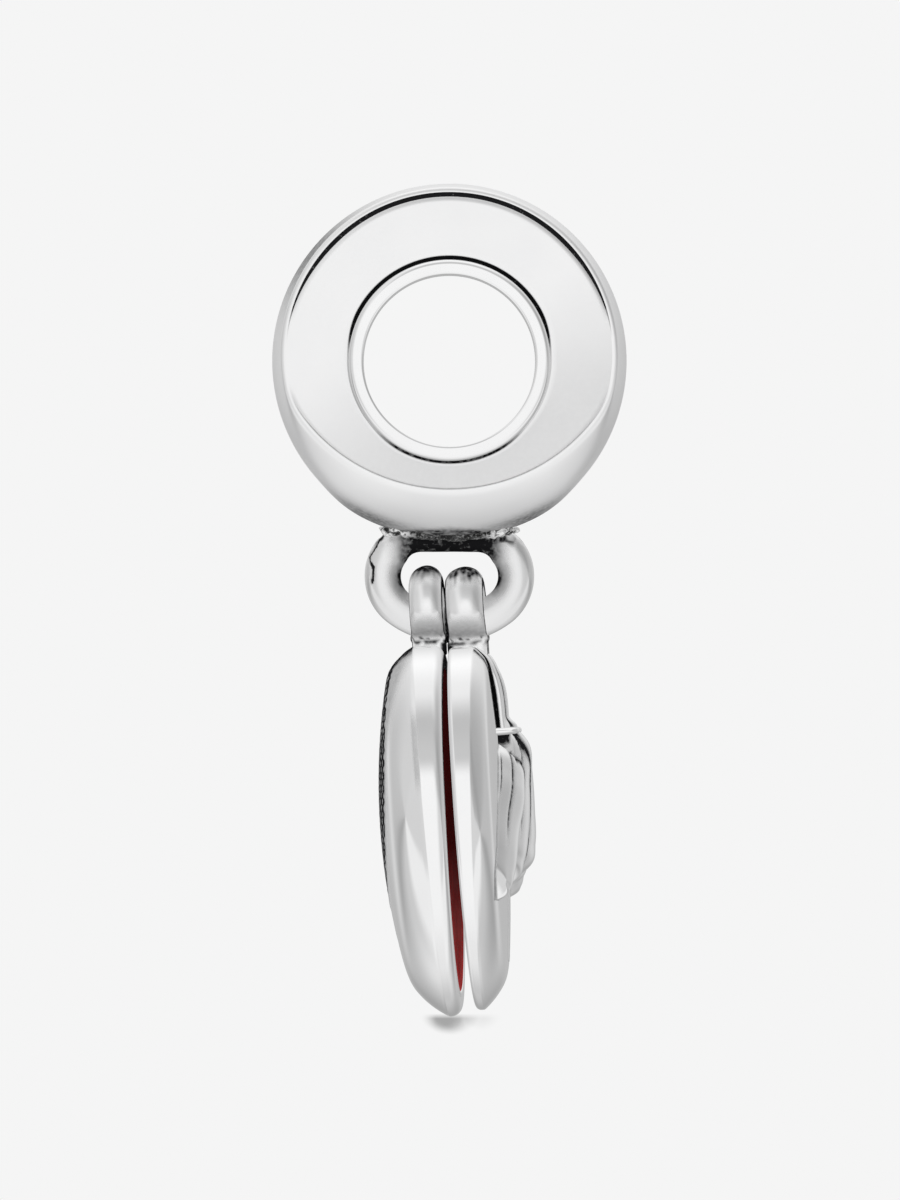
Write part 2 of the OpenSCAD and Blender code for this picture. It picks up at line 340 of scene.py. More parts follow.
class Nodes:
    """Short way to add nodes to a material or a world and to link them."""

    def __init__(self, owner):
        owner.use_nodes = True
        self.tree = owner.node_tree
        self.shader = self.tree.nodes.get("Principled BSDF")

    def add(self, kind, inputs=None, **settings):
        node = self.tree.nodes.new(kind)
        for key, value in settings.items():
            setattr(node, key, value)
        for key, value in (inputs or {}).items():
            self.put(node.inputs[key], value)
        return node

    def put(self, socket, value):
        if isinstance(value, bpy.types.NodeSocket):
            self.tree.links.new(value, socket)
        else:
            socket.default_value = value

    def set_main(self, key, value):
        """Sets or links an input of the main shader."""
        self.put(self.shader.inputs[key], value)

    def show(self, shader):
        """Makes a shader the one that the surface has."""
        self.put(self.tree.nodes["Material Output"].inputs["Surface"], shader)

    def math(self, operation, a, b=0.0, clamp=False):
        node = self.add("ShaderNodeMath", {0: a, 1: b}, operation=operation, use_clamp=clamp)
        return node.outputs[0]

    def span(self, value, from_low, from_high, to_low=0.0, to_high=1.0, way="LINEAR"):
        node = self.add("ShaderNodeMapRange", {"Value": value, "From Min": from_low,
                        "From Max": from_high, "To Min": to_low, "To Max": to_high},
                        interpolation_type=way)
        return node.outputs["Result"]

    def step(self, value, low, high):
        return self.span(value, low, high, way="SMOOTHSTEP")

    def noise(self, scale_mm, detail=2.0, roughness=0.5, vector=None):
        node = self.add("ShaderNodeTexNoise", {"Scale": 1 / (scale_mm * MM), "Detail": detail,
                        "Roughness": roughness, "Vector": vector or self.place})
        return node.outputs["Fac"]

    @property
    def place(self):
        if not hasattr(self, "_place"):
            self._place = self.add("ShaderNodeTexCoord").outputs["Object"]
        return self._place

    def tarnish_and_shade(self):
        return self.add("ShaderNodeAttribute", attribute_name="tarnish_and_shade").outputs["Fac"]

    def mix_colour(self, factor, a, b, way="MIX"):
        first_colour, second_colour, mixed_colour = 6, 7, 2
        node = self.add("ShaderNodeMix", data_type="RGBA", blend_type=way)
        self.put(node.inputs["Factor"], factor)
        self.put(node.inputs[first_colour], a)
        self.put(node.inputs[second_colour], b)
        return node.outputs[mixed_colour]

    def bump(self, height, depth_mm, normal=None):
        node = self.add("ShaderNodeBump", {"Height": height, "Distance": depth_mm * MM})
        if normal:
            self.put(node.inputs["Normal"], normal)
        return node.outputs["Normal"]


def silver_material(name, rough_low, rough_high, wave_mm, tone=1.0):
    """Silver with faint waves and hairlines, dark where it is tarnished and where shade is painted on it.
    """
    material = bpy.data.materials.new(name)
    n = Nodes(material)
    tarnish_and_shade = n.tarnish_and_shade()
    uneven = n.math("MULTIPLY", tarnish_and_shade, n.span(n.noise(0.12, 4), 0.3, 0.6, -0.1, 0.35))
    grime_and_shade = n.math("MULTIPLY", tarnish_and_shade, n.math("ADD", 1.0, uneven), clamp=True)
    bright = n.mix_colour(n.noise(1.6, 3), tinted(SILVER_LOW, tone), tinted(SILVER_HIGH, tone))
    n.set_main("Base Color", n.mix_colour(grime_and_shade, bright, tinted(BLACK)))
    hairs = n.add("ShaderNodeMapping", {"Vector": n.place, "Scale": (1.0, 6.0, 0.6)}).outputs[0]
    scratches = n.noise(0.09, 5, 0.65, hairs)
    polish = n.span(scratches, 0.35, 0.75, rough_low, rough_high)
    n.set_main("Roughness", n.math("ADD", polish, n.math("MULTIPLY", grime_and_shade, 0.3)))
    n.set_main("Metallic", n.math("SUBTRACT", 1.0, grime_and_shade))
    n.set_main("Specular IOR Level", 0.0)
    waves = n.bump(n.noise(1.1, 1), wave_mm)
    n.set_main("Normal", n.bump(scratches, HAIR_DEPTH, waves))
    return material


def solder_material():
    """Solder left rough and dark, with bright rubbed specks."""
    material = bpy.data.materials.new("dark_solder")
    n = Nodes(material)
    speck = n.span(n.noise(0.07, 5, 0.6), 0.5, 0.66, 0, 1)
    rubbed = n.math("SUBTRACT", 1.1, n.math("MULTIPLY", speck, 0.35))
    dark = n.math("MULTIPLY", n.tarnish_and_shade(), rubbed, clamp=True)
    n.set_main("Base Color", n.mix_colour(dark, grey(0.82), grey(0.01)))
    n.set_main("Metallic", n.math("SUBTRACT", 1.0, n.math("MULTIPLY", dark, 0.8)))
    n.set_main("Specular IOR Level", 0.2)
    n.set_main("Roughness", n.span(dark, 0, 1, 0.12, 0.34))
    n.set_main("Normal", n.bump(n.noise(0.11, 5, 0.6), 0.03))
    return material


def enamel_material():
    """Deep red enamel over silver, with painted shade above and a faint painted glow below: the light that
    it sends back is red too.
    """
    material = bpy.data.materials.new("red_enamel")
    n = Nodes(material)
    cloud = n.span(n.noise(1.3, 4), 0.3, 0.7, 0, 1)
    height = n.add("ShaderNodeSeparateXYZ", {"Vector": n.place}).outputs["Z"]
    # Painted shade: the red is darker above and lighter below.
    low = n.span(height, ENAMEL_SHADED_Z * MM, ENAMEL_LIT_Z * MM, 0, 1)
    deep = n.mix_colour(cloud, (0.27, 0.004, 0.006, 1), (0.4, 0.008, 0.012, 1))
    clear = n.mix_colour(cloud, (0.45, 0.01, 0.015, 1), (0.68, 0.035, 0.04, 1))
    # Painted light: a faint red glow, brighter below.
    painted_glow = n.mix_colour(low, (0.15, 0.006, 0.008, 1), (0.30, 0.012, 0.016, 1))
    n.set_main("Base Color", n.mix_colour(low, deep, clear))
    n.set_main("Roughness", n.span(n.noise(0.4, 3), 0.3, 0.7, 0.08, 0.16))
    n.set_main("Specular IOR Level", 0.0)
    n.set_main("Emission Color", painted_glow)
    n.set_main("Emission Strength", 0.07)
    n.set_main("Normal", n.bump(n.noise(0.9, 2), 0.004))
    shine = n.add("ShaderNodeBsdfGlossy", {"Color": (1.0, 0.75, 0.72, 1), "Roughness": 0.08})
    patches = n.span(n.noise(0.5, 1), 0.4, 0.6, 0.75, 1.25)
    sheen = n.math("MULTIPLY", n.span(low, 0, 1, 0.005, 0.05), patches)
    both = n.add("ShaderNodeMixShader", {0: sheen, 1: n.shader.outputs[0], 2: shine.outputs[0]})
    n.show(both.outputs[0])
    return material


SILVER = silver_material("polished_silver", 0.06, 0.12, 0.003)
SOFT_SILVER = silver_material("soft_silver", 0.18, 0.26, 0.002)
SATIN_SILVER = silver_material("satin_silver", 0.3, 0.36, 0.001)
# The ring's silver is the soft silver made darker: a painted shade.
SHADED_RING_SILVER = silver_material("shaded_ring_silver", 0.18, 0.26, 0.002, 0.9)
SOLDER = solder_material()
ENAMEL = enamel_material()

# Bead


def belly_radius(y):
    """Half width of the belly's round cross-section at a place along the bore."""
    return BELLY_R - BELLY_ARC + np.sqrt(np.maximum(BELLY_ARC ** 2 - y ** 2, 0))


def outer_radius(angle, y):
    """Radius of the bead's round side at an angle about the bore and a place along it."""
    crown = BEAD_R - CROWN_R + np.sqrt(CROWN_R ** 2 - y ** 2)
    crown = crown + BELLY_FOOT * ramp(-np.sin(angle), 0.65, 0.9)
    across = BELLY_RISE * np.cos(angle)
    sunk = BELLY_RISE * np.sin(angle) + np.sqrt(belly_radius(y) ** 2 - across ** 2)
    return smooth_min(crown, sunk, BELLY_BLEND)


def face_y(angle, r):
    """Half width of the bead at a place on its leaning, slightly pillowed face."""
    pillow = FACE_PILLOW * ((r / FACE_R) ** 2 - 0.38)
    return HALF_W - r * math.sin(angle) * math.tan(FACE_LEAN) - pillow


def face_corner(angle):
    """Radius and half width where the face meets the round side, found in a few steps."""
    r = outer_radius(angle, 1.9)
    for _ in range(12):
        y = face_y(angle, float(r))
        r = outer_radius(angle, y)
    return float(r), y


def groove(angle):
    """Radius, depth and painted shade of the groove beside the lip: deep above, closed at the sides."""
    up = math.sin(angle)
    above, below = ramp(up, 0.0, 0.5), ramp(-up, 0.6, 0.9)
    r = GROOVE_NARROW_R + (GROOVE_R - GROOVE_NARROW_R) * max(above, 0.55 * below)
    depth = GROOVE_SHALLOW + (GROOVE_DEPTH - GROOVE_SHALLOW) * max(above, 0.4 * below)
    return r, depth, max(ramp(up, 0.0, 0.3), 0.85 * below)


def face_line(angle):
    """Width, depth and painted shade of the line beside the face's edge: wide above, none at the sides."""
    up = math.sin(angle)
    upper, lower = ramp(up, 0.2, 0.75), ramp(-up, 0.1, 0.5)
    width = LINE_FINE_W + (LINE_W - LINE_FINE_W) * upper
    return width, LINE_DEPTH * (upper + 0.3 * lower), max(ramp(up, 0.1, 0.4), 0.45 * lower)


def face_painted_shade(angle, r):
    """Painted shade of the face, which grows towards its lower right."""
    down = r * (0.35 * math.cos(angle) - 0.94 * math.sin(angle))
    return FACE_SHADE * ramp(down, -1.4, 2.6)


def side_painted_shade(angle, y):
    """Painted shade of the round side: at the upper left, and on the belly beside the ring."""
    left = SIDE_SHADE * bell(angle, SIDE_ANGLE, SIDE_SPREAD)
    belly = BELLY_SHADE * bell(abs(angle - FOOT_ANGLE), BELLY_FROM_FOOT, BELLY_SPREAD)
    return max(left, belly * (1 - ramp(y, 1.0, 1.9)))


def bead_profile(angle, face_steps=12, edge_steps=10, side_steps=20):
    """Half of the bead's cross-section at an angle, from the bore's seat over the face to its middle.

    Each point is a radius, a half width and a painted shade.
    """
    groove_r, groove_depth, groove_dark = groove(angle)
    line_w, line_depth, line_dark = face_line(angle)
    corner = face_corner(angle)
    groove_y = face_y(angle, groove_r)
    low_y = groove_y - groove_depth
    face_start = groove_r + GROOVE_LIP
    face_end = corner[0] - FACE_EDGE - line_w
    points = [(SEAT_R, low_y, groove_dark), (groove_r - 0.02, low_y, groove_dark),
              (groove_r, low_y + 0.02, groove_dark), (groove_r, groove_y - 0.03, groove_dark),
              (groove_r + 0.008, groove_y - 0.009, 0.4 * groove_dark), (face_start, groove_y, 0)]
    for t in np.linspace(0, 1, face_steps)[1:]:
        r = face_start + (face_end - face_start) * t
        points.append((r, face_y(angle, r), face_painted_shade(angle, r)))
    for share, sunk in ((0.06, 1), (0.5, 1), (0.94, 1), (1, 0)):
        r = face_end + line_w * share
        points.append((r, face_y(angle, r) - line_depth * sunk, line_dark * sunk))
    start = points[-1]
    end_y = corner[1] - FACE_EDGE
    end = (outer_radius(angle, end_y), end_y)
    for t in np.linspace(0, 1, edge_steps)[1:]:
        r, y = ((1 - t) ** 2 * a + 2 * t * (1 - t) * b + t ** 2 * c
                for a, b, c in zip(start, corner, end))
        points.append((r, y, 0))
    for y in end_y * (1 - np.linspace(0, 1, side_steps)[1:]):
        points.append((outer_radius(angle, y), y, side_painted_shade(angle, y)))
    return points


def about_bore(profiles):
    """Grid of points from closed profiles of (radius, y), one at each of even angles about the bore."""
    angle = np.linspace(0, FULL, len(profiles), endpoint=False)[:, None]
    r, y = profiles[..., 0], profiles[..., 1]
    return np.stack([r * np.cos(angle), y, r * np.sin(angle)], axis=-1)


def bead_body():
    """Bead with its leaning faces and their painted shade, and a darker smudge in streaks under its belly.
    """
    profiles = []
    for angle in np.linspace(0, FULL, 320, endpoint=False):
        half = bead_profile(angle)
        profiles.append([(r, -y, dark) for r, y, dark in half] + half[-2::-1])
    profiles = np.array(profiles, dtype=float)
    points, shade = about_bore(profiles), profiles[..., 2]
    near = np.hypot(points[..., 0] / SMUDGE_A, points[..., 1] / SMUDGE_B)
    streaks = noise_at(points * np.array([1.0, 0.4, 0.4]), 4.0, 31)
    smudge = (1 - ramp(near + 0.12 * streaks, 0.75, 1.1)) * (points[..., 2] < -4.0)
    tarnish_and_shade = np.maximum(shade, smudge * np.clip(0.75 + 0.4 * streaks, 0, 1))
    return grid_piece("bead_body", points, "bead", "bead", SATIN_SILVER, wrap_rows=True,
                      tarnish_and_shade=tarnish_and_shade)


def bead_core():
    """Tube through the bead with a rounded lip in each groove."""
    across = np.linspace(-0.1, LIP_HALF, 30)
    crown = LIP_HALF * (1 - (np.abs(across) / LIP_HALF) ** 3.5) ** 0.5
    reach, outside = crown[0], LIP_R + LIP_HALF
    profiles = []
    for angle in np.linspace(0, FULL, 256, endpoint=False):
        centre = HALF_W - LIP_R * math.sin(angle) * math.tan(FACE_LEAN)
        half = [(BORE_R, 0.0), (BORE_R, centre * 0.6), (BORE_R, centre + reach - 0.06),
                (BORE_R + 0.014, centre + reach - 0.02)]
        half += [(LIP_R + s, centre + h) for s, h in zip(across, crown)]
        half += [(outside - 0.01, centre - 0.1), (CORE_R, centre - 0.2), (CORE_R, 0.0)]
        profiles.append([(r, -y) for r, y in half] + half[-2:0:-1])
    profiles = np.array(profiles)
    points = about_bore(profiles)
    # Painted shade on the outer edge of each lip, darker towards the top.
    shade = ramp(profiles[..., 0], outside - 0.02, outside) * ramp(points[..., 2], 0.4, 1.6)
    return grid_piece("bead_core_tube", points, "bead", "bead_core", SILVER, wrap_rows=True,
                      tarnish_and_shade=0.5 * shade)


# Soldered ring


def sweep(path, tangents, radii, count):
    """Round tube about a path in the XZ plane, and the outward directions of its points."""
    alpha = np.linspace(0, FULL, count, endpoint=False)
    across = np.stack([-tangents[:, 2], np.zeros(len(path)), tangents[:, 0]], axis=1)
    ring = (np.cos(alpha)[None, :, None] * across[:, None, :]
            + np.sin(alpha)[None, :, None] * np.array([0.0, 1.0, 0.0]))
    return path[:, None, :] + radii[:, None, None] * ring, ring


def ring_path():
    """Closed middle line of the ring and its directions."""
    down, turn = -math.pi / 2, RING_TURN
    half = RING_A - RING_END_R
    bottom = [(RING_FLAT_R, 0.0, RING_FLAT_R - RING_B, a)
              for a in np.linspace(down - turn, down + turn, 120)]
    right = [(RING_END_R, half, 0.0, a) for a in np.linspace(turn + down, -down, 120)[1:]]
    left = [(r, -x, z, math.pi - a) for r, x, z, a in reversed(right)]
    arcs = left + bottom + right
    path = [(x + r * math.cos(a), 0.0, z + r * math.sin(a) - RING_DROP) for r, x, z, a in arcs]
    tangents = [(-math.sin(a), 0.0, math.cos(a)) for _, _, _, a in arcs]
    for x in np.linspace(half, -half, 60)[1:-1]:
        path.append((x, 0.0, RING_END_R - RING_DROP))
        tangents.append((-1.0, 0.0, 0.0))
    return np.array(path), np.array(tangents)


def distance_to_line(points, line):
    """Distance in the XZ plane from each point to a line through a few points."""
    best = np.full(points.shape[:-1], np.inf)
    flat = points[..., (0, 2)]
    for a, b in zip(np.array(line[:-1]), np.array(line[1:])):
        share = np.clip(((flat - a) @ (b - a)) / ((b - a) @ (b - a)), 0, 1)
        best = np.minimum(best, np.linalg.norm(flat - a - share[..., None] * (b - a), axis=-1))
    return best


def ring_crack(smooth):
    """Ragged open joint down the ring's left side, wider at its lower end."""
    wobble = 0.03 * noise_at(smooth, 4.0, 21) + 0.02 * noise_at(smooth, 11.0, 22)
    wide = 0.018 + 0.022 * ramp(-smooth[..., 2], 5.25, 5.45)
    away = distance_to_line(smooth, CRACK) + np.abs(wobble)
    return ramp(wide + 0.02 - away, 0, 0.02) * (smooth[..., 1] < 0.1)


def ring_stains_and_shade(smooth, points, ring):
    """Stains at the feet, and painted shade under the bead, inside the loop and between the bails."""
    x, z = smooth[..., 0], smooth[..., 2]
    low = z + 0.3 * np.abs(x) + 0.12 * noise_at(points, 2.2, 23)
    under = 1 - (1 - ramp(low, -5.3, -4.9) * ramp(1.75 - np.abs(x), 0.0, 1.1)) ** 2
    streaks = 0.92 + 0.25 * noise_at(points * np.array([1, 1, 0.2]), 4.5, 6)
    stains = 0.8 * ramp(z, -5.0, -4.75) * ramp(noise_at(points, 4.0, 6), 0.0, 0.3)
    inward = -ring[..., 0] * np.sign(points[..., 0])
    inner = 0.55 * (ramp(inward, -0.1, 0.9) + ramp(inward, 0.7, 0.98) * ramp(-z, 5.2, 5.9))
    inner = inner * ramp(np.abs(x), 0.75, 0.95)
    between = bell(x, GAP_X, 0.1) * ramp(-z, 6.3, 6.45)
    return np.maximum.reduce([stains, under * streaks, inner, between])


def soldered_ring():
    """Ring of wire under the bead, thinner and rougher at its top."""
    path, tangents = ring_path()
    radii = WIRE_HALF + (RING_TOP_HALF - WIRE_HALF) * ramp(path[:, 2], -5.05, -4.68)
    smooth, ring = sweep(path, tangents, radii, 80)
    crack = ring_crack(smooth)
    lumps = (0.008 * noise_at(smooth, 1.3, 4)
             + 0.015 * ramp(smooth[..., 2], -5.1, -4.7) * noise_at(smooth, 6.0, 5))
    points = smooth + (lumps - CRACK_DEPTH * crack)[..., None] * ring
    tarnish_and_shade = np.maximum(crack, ring_stains_and_shade(smooth, points, ring))
    return grid_piece("soldered_ring", points, "bead", "bead", SHADED_RING_SILVER, wrap_rows=True,
                      tarnish_and_shade=tarnish_and_shade)


def seam_path(count):
    """Closed line on the belly round the ring's top: two straight sides and two round ends."""
    straight, bend = 2 * SEAM_X, math.pi * SEAM_Y
    half = straight + bend
    path = []
    for s in np.linspace(0, 2 * half, count, endpoint=False):
        side = 1 if s < half else -1
        s = s % half
        if s < straight:
            path.append((side * (SEAM_X - s), -side * SEAM_Y))
        else:
            a = (s - straight) / SEAM_Y
            path.append((side * (-SEAM_X - SEAM_Y * math.sin(a)), -side * SEAM_Y * math.cos(a)))
    x, y = np.array(path).T
    z = BELLY_RISE - np.sqrt(belly_radius(y) ** 2 - x ** 2) - 0.02
    return np.stack([x, y, z], axis=1)


def solder_seam():
    """Lumpy seam of solder round the ring where it meets the belly."""
    line = seam_path(420)
    tangent = np.roll(line, -1, axis=0) - np.roll(line, 1, axis=0)
    tangent /= np.linalg.norm(tangent, axis=1, keepdims=True)
    across = np.cross(tangent, np.array([0, 0, 1.0]))
    across /= np.linalg.norm(across, axis=1, keepdims=True)
    up = np.cross(across, tangent)
    alpha = np.linspace(0, FULL, 40, endpoint=False)
    ring = (1.8 * np.cos(alpha)[None, :, None] * across[:, None, :]
            + np.sin(alpha)[None, :, None] * up[:, None, :])
    points = line[:, None, :] + SEAM_HALF * ring
    big, small, fine = (noise_at(points, k, m) for k, m in ((2.1, 7), (6.0, 8), (17.0, 9)))
    ends = ramp(np.abs(points[..., 0]), 0.9, 1.3)
    lumps = 0.05 * big + (0.03 + 0.05 * ends) * small + 0.02 * fine
    points = points + lumps[..., None] * ring
    middle = 1 - ramp(np.abs(points[..., 0]), 0.75, 1.3)
    blobs = ramp(small + 0.6 * fine, -0.15, 0.25)
    return grid_piece("solder_seam", points, "bead", "bead", SOLDER, wrap_rows=True,
                      tarnish_and_shade=1 - blobs * (1 - 0.85 * middle))


# Pendants


def hang(points, pendant):
    """Moves points (u, v, w) of a hanging pendant to their place in the object."""
    lean = pendant.lean
    u = np.array([math.cos(lean) * math.cos(TURN), -math.cos(lean) * math.sin(TURN), math.sin(lean)])
    v = np.array([math.sin(TURN), math.cos(TURN), 0.0])
    w = np.array([-math.sin(lean) * math.cos(TURN), math.sin(lean) * math.sin(TURN), math.cos(lean)])
    hinge = np.array([pendant.x, 0.0, pendant.z])
    return hinge + points[..., 0:1] * u + points[..., 1:2] * v + points[..., 2:3] * w


def hang_flat(points, pendant):
    """Moves points that are drawn on a flat disc, inner face down and top edge at +X."""
    moved = np.stack([pendant.side * (points[..., 2] - pendant.seat), points[..., 1],
                      points[..., 0] - DISC_DROP - pendant.d / 2], axis=-1)
    return hang(moved, pendant)


def dome_height(x, y, pendant):
    away = (x - pendant.dome_rise) ** 2 + y ** 2
    return pendant.top - pendant.dome_r + np.sqrt(pendant.dome_r ** 2 - away)


def shoulder_middle(pendant):
    """Radius and height of the middle of the arc between a disc's rim and its dome."""
    return (pendant.d / 2 - SHOULDER_R * math.cos(pendant.bevel),
            pendant.wall - SHOULDER_R * math.sin(pendant.bevel))


def back_height(x, y, pendant):
    """Height of a disc's back, with its rounded shoulder."""
    middle, base = shoulder_middle(pendant)
    away = np.maximum(np.hypot(x, y) - middle, 0)
    shoulder = base + np.sqrt(np.maximum(SHOULDER_R ** 2 - away ** 2, 0))
    return smooth_min(shoulder, dome_height(x, y, pendant), DOME_BLEND)


def disc_profile(pendant):
    """Cross-section of a disc, as (radius, height), from its recess round the rim to its back.

    The back's middle is drawn too high here: disc() brings it down to the dome.
    """
    r, edge, wall = pendant.d / 2, pendant.edge, pendant.wall
    bed = r - LAND_W
    middle, base = shoulder_middle(pendant)
    points = [(bed * t, RECESS_Z) for t in (0.02, 0.5, 0.98)]
    points += [(bed, RECESS_Z - 0.02), (bed, 0.05), (bed + 0.012, 0.012), (bed + 0.04, 0.0)]
    points += [(r - edge + edge * math.cos(a), edge + edge * math.sin(a))
               for a in np.linspace(-math.pi / 2, 0, EDGE_ROWS)]
    points += [(r, z) for z in np.linspace(edge, wall - 0.05, RIM_ROWS + 1)[1:]]
    points += [(r - 0.003, wall - 0.022), (r - 0.013, wall + 0.006)]
    points += [(middle + SHOULDER_R * math.cos(a), base + SHOULDER_R * math.sin(a))
               for a in np.linspace(pendant.bevel + 0.025, math.pi / 2, 40)]
    points += [(middle * (1 - t), SHOULDER_R + 1 + t) for t in np.linspace(0, 0.995, 70)[1:]]
    return np.array(points)


def granulation(x, y):
    """Height and darkness of an oval field of small bright grains on a dark ground, with a border, and a
    painted shade round it.
    """
    oval = np.hypot((x - FIELD_X) / FIELD_A, y / FIELD_B)
    row = np.round(y / GRAIN_ROW)
    column = np.round(x / GRAIN_PITCH - 0.5 * (row % 2)) + 0.5 * (row % 2)
    away = np.hypot(x - column * GRAIN_PITCH, y - row * GRAIN_ROW)
    grain = np.sqrt(np.clip(1 - (away / GRAIN_R) ** 2, 0, 1))
    inside = 1 - ramp(oval, 0.92, 0.95)
    lift = 0.015 * bell(oval, 1, 0.025) + inside * (0.03 * grain - 0.02)
    # Painted shade round the field.
    shade = 0.5 * (1 - ramp(oval, 1.0, 1.12))
    return lift, np.maximum(inside * (1 - 0.4 * ramp(grain, 0.7, 0.95)), shade)


def disc_tarnish_and_shade(points, pendant):
    """Darkness of a disc: tarnished in its recess, dark patches at its rim's top, and painted shade on its
    lip, in the rear's crease, at the rear's bail root and beside the front's stem.
    """
    x, y, z = np.moveaxis(points, -1, 0)
    row = np.arange(len(points))[:, None]
    on_back, r = row >= BACK_ROW, pendant.d / 2
    recess = 0.6 * (row < INNER_ROWS) * (z > RECESS_Z - 0.01)
    # Painted shade on the lip, darker towards the top.
    lip = (row > BED_ROWS) * (1 - ramp(row, INNER_ROWS, INNER_ROWS + 3)) * ramp(x, -1.5, 2.5)
    rim_top = (row >= INNER_ROWS) * (row <= BACK_ROW) * ramp(x, r - 0.1, r - 0.02)
    rim_top = rim_top * ramp(noise_at(points, 5.0, 41), -0.2, 0.4)
    # Painted shade in the rear's crease and at its bail's root, and on the front's back beside its stem.
    if pendant.name == "rear":
        near_rim = (row >= BACK_ROW - CORNER_ROWS) * (row <= BACK_ROW + 1)
        crease = 0.35 * near_rim * ramp(x, 0.9, 1.6) * (1 - ramp(x, 2.8, 3.4))
        root = on_back * bell(y, 0, 1.5, 4) * ramp(x, 3.8, 4.1)
        solder = np.maximum(crease, root)
    else:
        solder = 0.85 * on_back * ramp(x, 2.4, 2.6) * bell(np.abs(y), 0.95, 0.22)
    return np.maximum.reduce([recess, 0.85 * lip, 0.7 * rim_top, solder])


def disc(pendant):
    """Silver disc with a recess for the enamel, a rounded rim that tapers down and a domed back."""
    profile = disc_profile(pendant)
    cols = 320
    angle = np.linspace(0, FULL, cols, endpoint=False)
    row = np.arange(len(profile))[:, None]
    x = profile[:, 0:1] * np.cos(angle)
    y = profile[:, 0:1] * np.sin(angle)
    z = np.repeat(profile[:, 1:2], cols, axis=1)
    up_rim = np.clip((z - pendant.edge) / (pendant.wall - pendant.edge), 0, 1)
    z = np.where(row < INNER_ROWS, z, z - RIM_TAPER * (pendant.d / 2 - x) * up_rim)
    domed = smooth_min(z, dome_height(x, y, pendant), DOME_BLEND)
    z = np.where(row >= BACK_ROW, domed, z)
    tarnish_and_shade = disc_tarnish_and_shade(np.stack([x, y, z], axis=-1), pendant)
    if pendant.name == "rear":
        lift, dark = granulation(x, y)
        z = z + (row >= BACK_ROW) * lift
        tarnish_and_shade = np.maximum(tarnish_and_shade, (row >= BACK_ROW) * dark)
    points = hang_flat(np.stack([x, y, z], axis=-1), pendant)
    return grid_piece(f"{pendant.name}_disc", points, pendant.name, f"{pendant.name}_pendant", SILVER,
                      tarnish_and_shade=tarnish_and_shade)


def bail_loop(count):
    """Middle line of a bail, a rounded square in the YZ plane, and its outward directions."""
    turn = np.linspace(0, FULL, count, endpoint=False)
    none = np.zeros(count)
    y, w = (signed_power(f(turn), 2 / BAIL_SQUARE) for f in (np.cos, np.sin))
    centre = np.stack([none, BAIL_R * y, BAIL_R * w - BAIL_SAG], axis=1)
    outward = np.stack([none] + [signed_power(p, BAIL_SQUARE - 1) for p in (y, w)], axis=1)
    return centre, outward / np.linalg.norm(outward, axis=1, keepdims=True)


def bail_sideways(x, w, pendant):
    """Sideways place of a bail's points at heights w.

    The side towards the other pendant is narrowed to fit, and the foot is sunk in the disc.
    """
    side = pendant.side
    inward = -side * (x * BAIL_HALF_W / BAIL_HALF + BAIL_SHIFT)
    inner_w = pendant.inner_w + pendant.foot * ramp(-w, 0.45, 0.55)
    inward = inward * np.where(inward > 0, inner_w / (BAIL_HALF_W - side * BAIL_SHIFT), 1)
    x = -side * np.minimum(inward, inner_w + 0.01)
    sunk = ramp(-w, 0.85, 1.05)
    return x + sunk * (side * (pendant.wall / 2 - pendant.seat) - 0.55 * x)


def bail_stains_and_shade(points, w, toward, collar, rough, side):
    """Darkness of a bail: painted shade on its two sides and at its foot, a painted reflection in streaks
    over its top, and stains and a dark line round its collar.
    """
    # Painted shade on the side towards the other bail, on the outer side and above the collar.
    inner = np.maximum(ramp(toward, 0.9, 0.97), ramp(toward, 0.6, 0.85) * ramp(-w, 0.52, 0.6))
    outer = 0.85 * ramp(-toward, 0.94, 0.98) + 0 * w
    foot = 0.6 * (1 - ramp(w, -0.5, 0.5)) * ramp(w, -0.5, -0.3)
    line = 0.8 * bell(w, -0.53, 0.07) * ramp(rough, -0.7, 0.2)
    stains = 0.7 * collar * ramp(noise_at(points, 7.0, 17), 0.2, 0.45)
    # Painted reflection in streaks over the top.
    streaks = noise_at(points * np.array([3.0, 1.0, 0.5]), 3.4, 19 + side)
    streaks = 0.9 * ramp(w + (0.16 + 0.08 * side) * streaks, 0.95, 1.5)
    return np.maximum.reduce([inner, outer, foot, line, stains, streaks])


def bail(pendant):
    """Loop of wire, with a lumpy collar of solder where it runs into the disc."""
    side = pendant.side
    centre, outward = bail_loop(240)
    alpha = np.linspace(0, FULL, 80, endpoint=False)
    ring = (np.cos(alpha)[None, :, None] * outward[:, None, :]
            + np.sin(alpha)[None, :, None] * np.array([1.0, 0.0, 0.0]))
    smooth = centre[:, None, :] + BAIL_HALF * ring
    w = smooth[..., 2]
    collar = ramp(w, -0.54, -0.46) * (1 - ramp(w, -0.38, -0.3))
    rough = noise_at(smooth, 5.5, 11 + side)
    swell = (0.006 * noise_at(smooth, 1.4, 13 + side) + collar * (0.02 + 0.02 * rough)
             + 0.005 * ramp(w, 0.9, 1.3) * noise_at(smooth, 7.0, 15))
    points = smooth + swell[..., None] * ring
    points[..., 1] *= 1 - 0.64 * ramp(-w, -0.3, 0.6)
    points[..., 0] = bail_sideways(points[..., 0], w, pendant)
    tarnish_and_shade = bail_stains_and_shade(points, w, -side * np.sin(alpha), collar, rough, side)
    return grid_piece(f"{pendant.name}_bail", hang(points, pendant), pendant.name,
                      f"{pendant.name}_pendant", SOFT_SILVER, wrap_rows=True, tarnish_and_shade=tarnish_and_shade)


